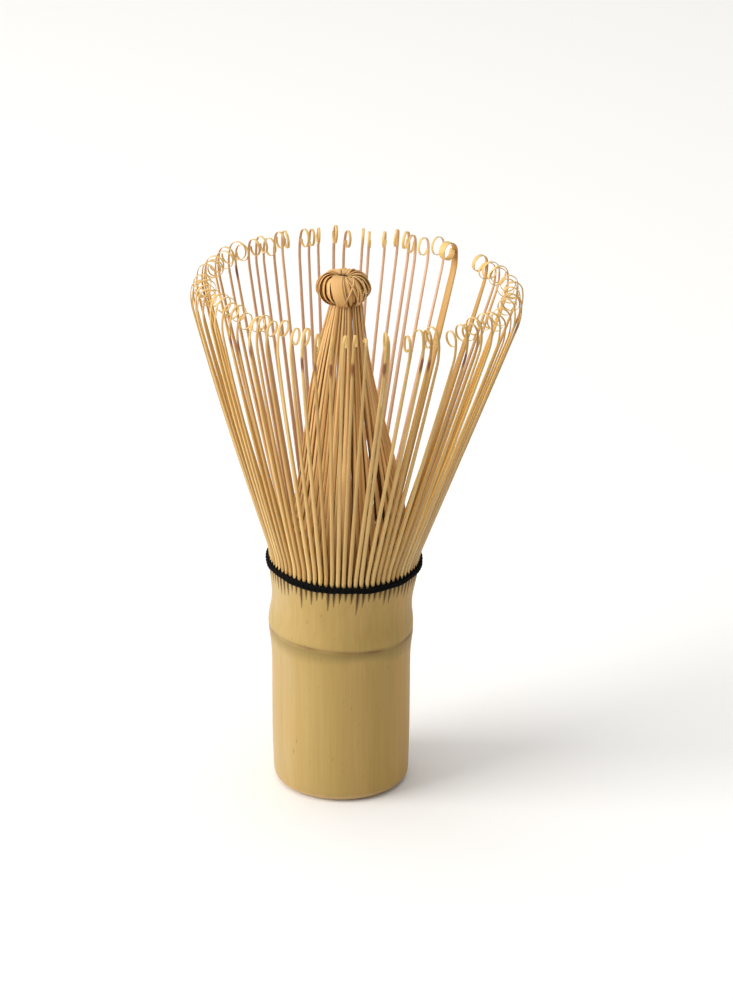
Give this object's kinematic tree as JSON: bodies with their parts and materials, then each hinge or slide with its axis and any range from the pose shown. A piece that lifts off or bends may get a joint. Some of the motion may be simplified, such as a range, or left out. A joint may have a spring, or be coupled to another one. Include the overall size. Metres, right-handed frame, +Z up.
{
  "type": "bamboo tea whisk",
  "caption": "Bamboo tea whisk: a short culm handle whose upper end is split into a flared ring of curled tines round a gathered inner bundle, bound with black thread.",
  "frame": {"origin": "middle of the handle's lower end, on its bore's axis in the plane that the whisk rests on", "axes": "+Z up along the handle towards the tines; +X is the side that the culm bends to at its node; +Y is the back, nearest the two wide tines"},
  "size_m": [0.0631, 0.0632, 0.1076],
  "materials": {
    "bamboo_culm": "satin",
    "bamboo_outer_tines": "satin",
    "bamboo_inner_tines": "satin",
    "black_thread": "matte"
  },
  "bodies": {
    "handle": {"handle": "bamboo_culm", "thread_lower_turn": "black_thread", "thread_upper_turn": "black_thread", "thread_inner_pass": "black_thread", "thread_end_knot": "black_thread"},
    "inner_bundle": {"inner_crown_knot": "bamboo_inner_tines", "inner_tines_01": "bamboo_inner_tines", "inner_tines_02": "bamboo_inner_tines", "inner_tines_03": "bamboo_inner_tines", "inner_tines_04": "bamboo_inner_tines", "inner_tines_05": "bamboo_inner_tines", "inner_tines_06": "bamboo_inner_tines", "inner_tines_07": "bamboo_inner_tines", "inner_tines_08": "bamboo_inner_tines", "inner_tines_09": "bamboo_inner_tines", "inner_tines_10": "bamboo_inner_tines", "inner_tines_11": "bamboo_inner_tines", "inner_tines_12": "bamboo_inner_tines", "inner_tines_13": "bamboo_inner_tines", "inner_tines_14": "bamboo_inner_tines", "inner_tines_15": "bamboo_inner_tines", "inner_tines_16": "bamboo_inner_tines"},
    "outer_split_01": {"outer_tines_01": "bamboo_outer_tines"},
    "outer_split_02": {"outer_tines_02": "bamboo_outer_tines"},
    "outer_split_03": {"outer_tines_03": "bamboo_outer_tines"},
    "outer_split_04": {"outer_tines_04": "bamboo_outer_tines"},
    "outer_split_05": {"outer_tines_05": "bamboo_outer_tines"},
    "outer_split_06": {"outer_tines_06": "bamboo_outer_tines"},
    "outer_split_07": {"outer_tines_07": "bamboo_outer_tines"},
    "outer_split_08": {"outer_tines_08": "bamboo_outer_tines"},
    "outer_split_09": {"outer_tines_09": "bamboo_outer_tines"},
    "outer_split_10": {"outer_tines_10": "bamboo_outer_tines"},
    "outer_split_11": {"outer_tines_11": "bamboo_outer_tines"},
    "outer_split_12": {"outer_tines_12": "bamboo_outer_tines"},
    "outer_split_13": {"outer_tines_13": "bamboo_outer_tines"},
    "outer_split_14": {"outer_tines_14": "bamboo_outer_tines"},
    "outer_split_15": {"outer_tines_15": "bamboo_outer_tines"},
    "outer_split_16": {"outer_tines_16": "bamboo_outer_tines"}
  },
  "joints": [
    {"name": "inner_bundle_sway", "type": "hinge", "parent": "handle", "child": "inner_bundle", "pos_m": [0.00071, 0, 0.04903], "axis": [0.9989, 0, -0.0471], "range_deg": [-2, 2], "stiffness_Nm_per_rad": 0.5},
    {"name": "outer_flex_01", "type": "hinge", "parent": "handle", "child": "outer_split_01", "pos_m": [0.01514, 0, 0.0482], "axis": [0, 1, 0], "range_deg": [-3, 5], "stiffness_Nm_per_rad": 0.02},
    {"name": "outer_flex_02", "type": "hinge", "parent": "handle", "child": "outer_split_02", "pos_m": [0.01404, 0.00553, 0.04825], "axis": [-0.3823, 0.9239, 0.018], "range_deg": [-3, 5], "stiffness_Nm_per_rad": 0.02},
    {"name": "outer_flex_03", "type": "hinge", "parent": "handle", "child": "outer_split_03", "pos_m": [0.01091, 0.01022, 0.0484], "axis": [-0.7063, 0.7071, 0.0333], "range_deg": [-3, 5], "stiffness_Nm_per_rad": 0.02},
    {"name": "outer_flex_04", "type": "hinge", "parent": "handle", "child": "outer_split_04", "pos_m": [0.00623, 0.01336, 0.04862], "axis": [-0.9229, 0.3827, 0.0435], "range_deg": [-3, 5], "stiffness_Nm_per_rad": 0.02},
    {"name": "outer_flex_05", "type": "hinge", "parent": "handle", "child": "outer_split_05", "pos_m": [0.0007, 0.01446, 0.04888], "axis": [-0.9989, 0, 0.0471], "range_deg": [-3, 5], "stiffness_Nm_per_rad": 0.02},
    {"name": "outer_flex_06", "type": "hinge", "parent": "handle", "child": "outer_split_06", "pos_m": [-0.00482, 0.01336, 0.04914], "axis": [-0.9229, -0.3827, 0.0435], "range_deg": [-3, 5], "stiffness_Nm_per_rad": 0.02},
    {"name": "outer_flex_07", "type": "hinge", "parent": "handle", "child": "outer_split_07", "pos_m": [-0.00951, 0.01022, 0.04936], "axis": [-0.7063, -0.7071, 0.0333], "range_deg": [-3, 5], "stiffness_Nm_per_rad": 0.02},
    {"name": "outer_flex_08", "type": "hinge", "parent": "handle", "child": "outer_split_08", "pos_m": [-0.01264, 0.00553, 0.04951], "axis": [-0.3823, -0.9239, 0.018], "range_deg": [-3, 5], "stiffness_Nm_per_rad": 0.02},
    {"name": "outer_flex_09", "type": "hinge", "parent": "handle", "child": "outer_split_09", "pos_m": [-0.01374, 0, 0.04956], "axis": [0, -1, 0], "range_deg": [-3, 5], "stiffness_Nm_per_rad": 0.02},
    {"name": "outer_flex_10", "type": "hinge", "parent": "handle", "child": "outer_split_10", "pos_m": [-0.01264, -0.00553, 0.04951], "axis": [0.3823, -0.9239, -0.018], "range_deg": [-3, 5], "stiffness_Nm_per_rad": 0.02},
    {"name": "outer_flex_11", "type": "hinge", "parent": "handle", "child": "outer_split_11", "pos_m": [-0.00951, -0.01022, 0.04936], "axis": [0.7063, -0.7071, -0.0333], "range_deg": [-3, 5], "stiffness_Nm_per_rad": 0.02},
    {"name": "outer_flex_12", "type": "hinge", "parent": "handle", "child": "outer_split_12", "pos_m": [-0.00482, -0.01336, 0.04914], "axis": [0.9229, -0.3827, -0.0435], "range_deg": [-3, 5], "stiffness_Nm_per_rad": 0.02},
    {"name": "outer_flex_13", "type": "hinge", "parent": "handle", "child": "outer_split_13", "pos_m": [0.0007, -0.01446, 0.04888], "axis": [0.9989, 0, -0.0471], "range_deg": [-3, 5], "stiffness_Nm_per_rad": 0.02},
    {"name": "outer_flex_14", "type": "hinge", "parent": "handle", "child": "outer_split_14", "pos_m": [0.00623, -0.01336, 0.04862], "axis": [0.9229, 0.3827, -0.0435], "range_deg": [-3, 5], "stiffness_Nm_per_rad": 0.02},
    {"name": "outer_flex_15", "type": "hinge", "parent": "handle", "child": "outer_split_15", "pos_m": [0.01091, -0.01022, 0.0484], "axis": [0.7063, 0.7071, -0.0333], "range_deg": [-3, 5], "stiffness_Nm_per_rad": 0.02},
    {"name": "outer_flex_16", "type": "hinge", "parent": "handle", "child": "outer_split_16", "pos_m": [0.01404, -0.00553, 0.04825], "axis": [0.3823, 0.9239, -0.018], "range_deg": [-3, 5], "stiffness_Nm_per_rad": 0.02}
  ]
}
